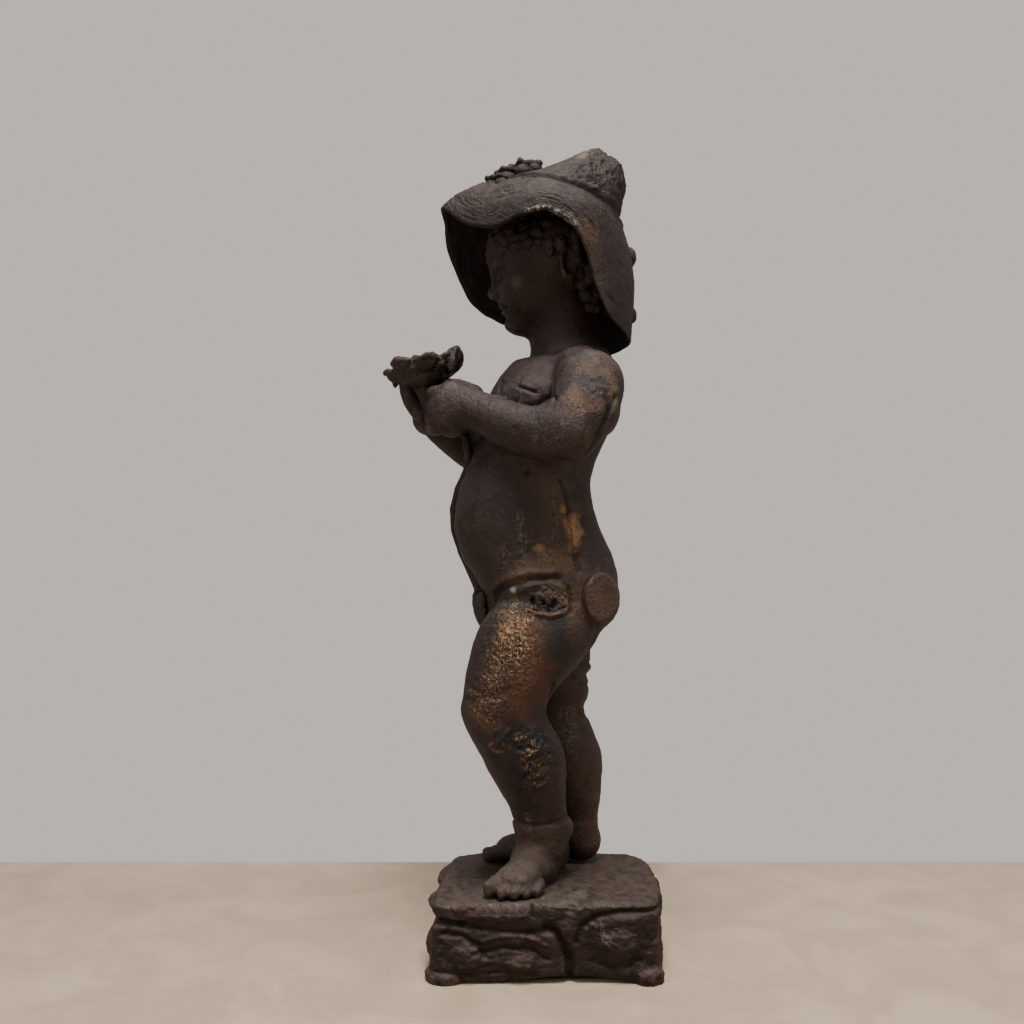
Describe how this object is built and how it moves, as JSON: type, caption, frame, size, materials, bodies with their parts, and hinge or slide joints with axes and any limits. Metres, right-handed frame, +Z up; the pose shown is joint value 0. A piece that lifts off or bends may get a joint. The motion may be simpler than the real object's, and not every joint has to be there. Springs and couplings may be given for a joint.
{
  "type": "bronze figure of a boy with a flower",
  "caption": "Standing bronze figure of a small boy in a drooping sun hat, holding a flower to his chest, on a low block of rough rock.",
  "frame": {"origin": "middle of the base's flat underside", "axes": "+Z up; the boy looks along -Y; his left side faces +X"},
  "size_m": [0.1313, 0.1535, 0.4481],
  "materials": {
    "dark_bronze": "dark brown patina, rubbed to gold-brown on the hip and thigh",
    "brown_bronze": "matt brown patina, greyer on top"
  },
  "bodies": {
    "root": {"boy_with_flower": "dark_bronze", "rock_base": "brown_bronze"}
  },
  "joints": []
}
